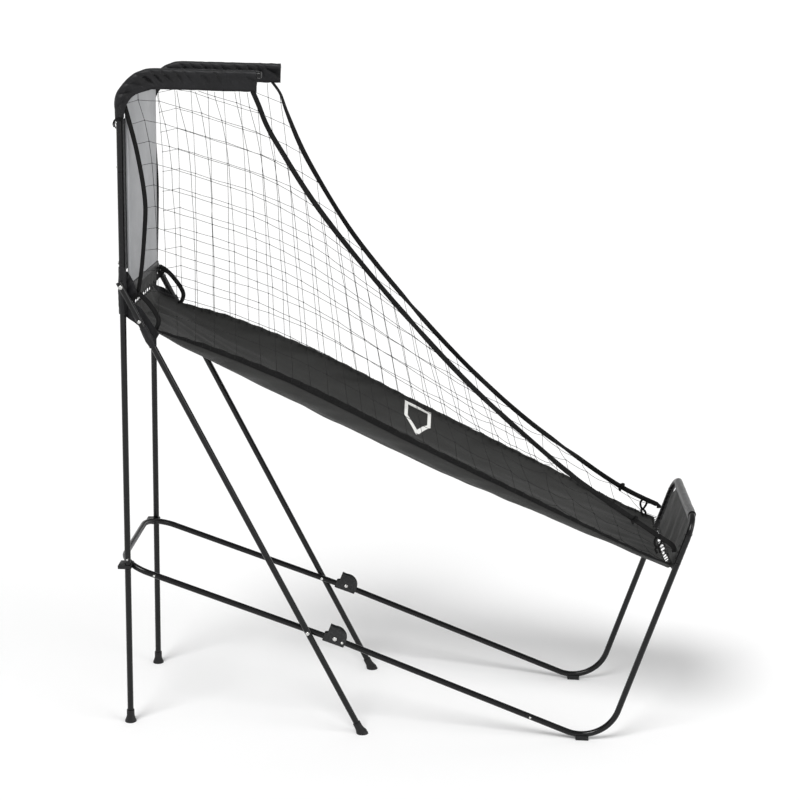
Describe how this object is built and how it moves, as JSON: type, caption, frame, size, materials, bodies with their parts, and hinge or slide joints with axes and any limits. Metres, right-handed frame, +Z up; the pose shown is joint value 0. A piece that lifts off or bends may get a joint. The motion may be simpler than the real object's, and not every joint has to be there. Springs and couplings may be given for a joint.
{
  "type": "folding pitching practice target",
  "caption": "Folding tubular stand with a target board between forward arms, side nets, and a sloping fabric trough that returns balls to a low front hoop.",
  "frame": {"origin": "centre of the base rectangle of the whole object, on the floor", "axes": "+Z up; +X from the target board towards the low front hoop where the ball arrives; +Y to the left seen from the hoop's direction of travel; the XZ plane is the plane of symmetry"},
  "size_m": [1.7916, 0.5464, 2.053],
  "materials": {
    "tube": "gloss black powder coat on steel tube",
    "plastic": "black moulded plastic",
    "bracket": "satin black pressed steel",
    "zinc": "bright zinc plated steel",
    "board": "grey matt plastic board",
    "cloth": "black woven polyester",
    "net": "thin knotted black cord net",
    "webbing": "black woven webbing"
  },
  "bodies": {
    "stand": {"rear_leg_left": "tube", "rear_leg_right": "tube", "upright_left": "tube", "upright_right": "tube", "top_arm_left": "tube", "top_arm_right": "tube", "strut_left": "tube", "strut_right": "tube", "base_tube_left": "tube", "base_tube_right": "tube", "rear_foot_left": "plastic", "rear_foot_right": "plastic", "arm_cap_left": "plastic", "arm_cap_right": "plastic", "strut_foot_left": "plastic", "strut_foot_right": "plastic", "bow_clamp_left": "plastic", "bow_clamp_right": "plastic", "hinge_bracket_left": "bracket", "hinge_bracket_right": "bracket", "board_strip_left": "bracket", "board_strip_right": "bracket", "hinge_rivet_left": "zinc", "hinge_rivet_right": "zinc", "strut_top_bolt_left": "zinc", "strut_top_bolt_right": "zinc", "strut_pivot_bolt_left": "zinc", "strut_pivot_bolt_right": "zinc", "lower_board_bolt_left": "zinc", "lower_board_bolt_right": "zinc", "upper_board_bolt_left": "zinc", "upper_board_bolt_right": "zinc", "top_sleeve_left": "cloth", "top_sleeve_right": "cloth", "corner_wrap_left": "cloth", "corner_wrap_right": "cloth", "side_net_left": "net", "side_net_right": "net", "net_border_left": "webbing", "net_border_right": "webbing", "corner_strap_left": "webbing", "corner_strap_right": "webbing", "rear_bow": "tube", "target_board": "board", "board_rail": "plastic", "trough": "cloth", "rear_curtain": "cloth"},
    "front_frame": {"front_knuckle_left": "bracket", "front_knuckle_right": "bracket", "front_tube_left": "tube", "front_tube_right": "tube", "front_leg_left": "tube", "front_leg_right": "tube", "front_foot_left": "plastic", "front_foot_right": "plastic", "front_hoop": "tube", "front_panel": "cloth"},
    "left_pin": {"lock_pin_left": "zinc"},
    "right_pin": {"lock_pin_right": "zinc"}
  },
  "joints": [
    {"name": "front_fold", "type": "hinge", "parent": "stand", "child": "front_frame", "pos_m": [-0.2109, 0, 0.311], "axis": [0, -1, 0], "range_deg": [0, 92], "deforming": ["side_net_left", "side_net_right", "net_border_left", "net_border_right"]},
    {"name": "left_pin_slide", "type": "slide", "parent": "stand", "child": "left_pin", "axis": [0, 1, 0], "range_m": [0, 0.006], "stiffness_N_per_m": 400},
    {"name": "right_pin_slide", "type": "slide", "parent": "stand", "child": "right_pin", "axis": [0, -1, 0], "range_m": [0, 0.006], "stiffness_N_per_m": 400}
  ]
}
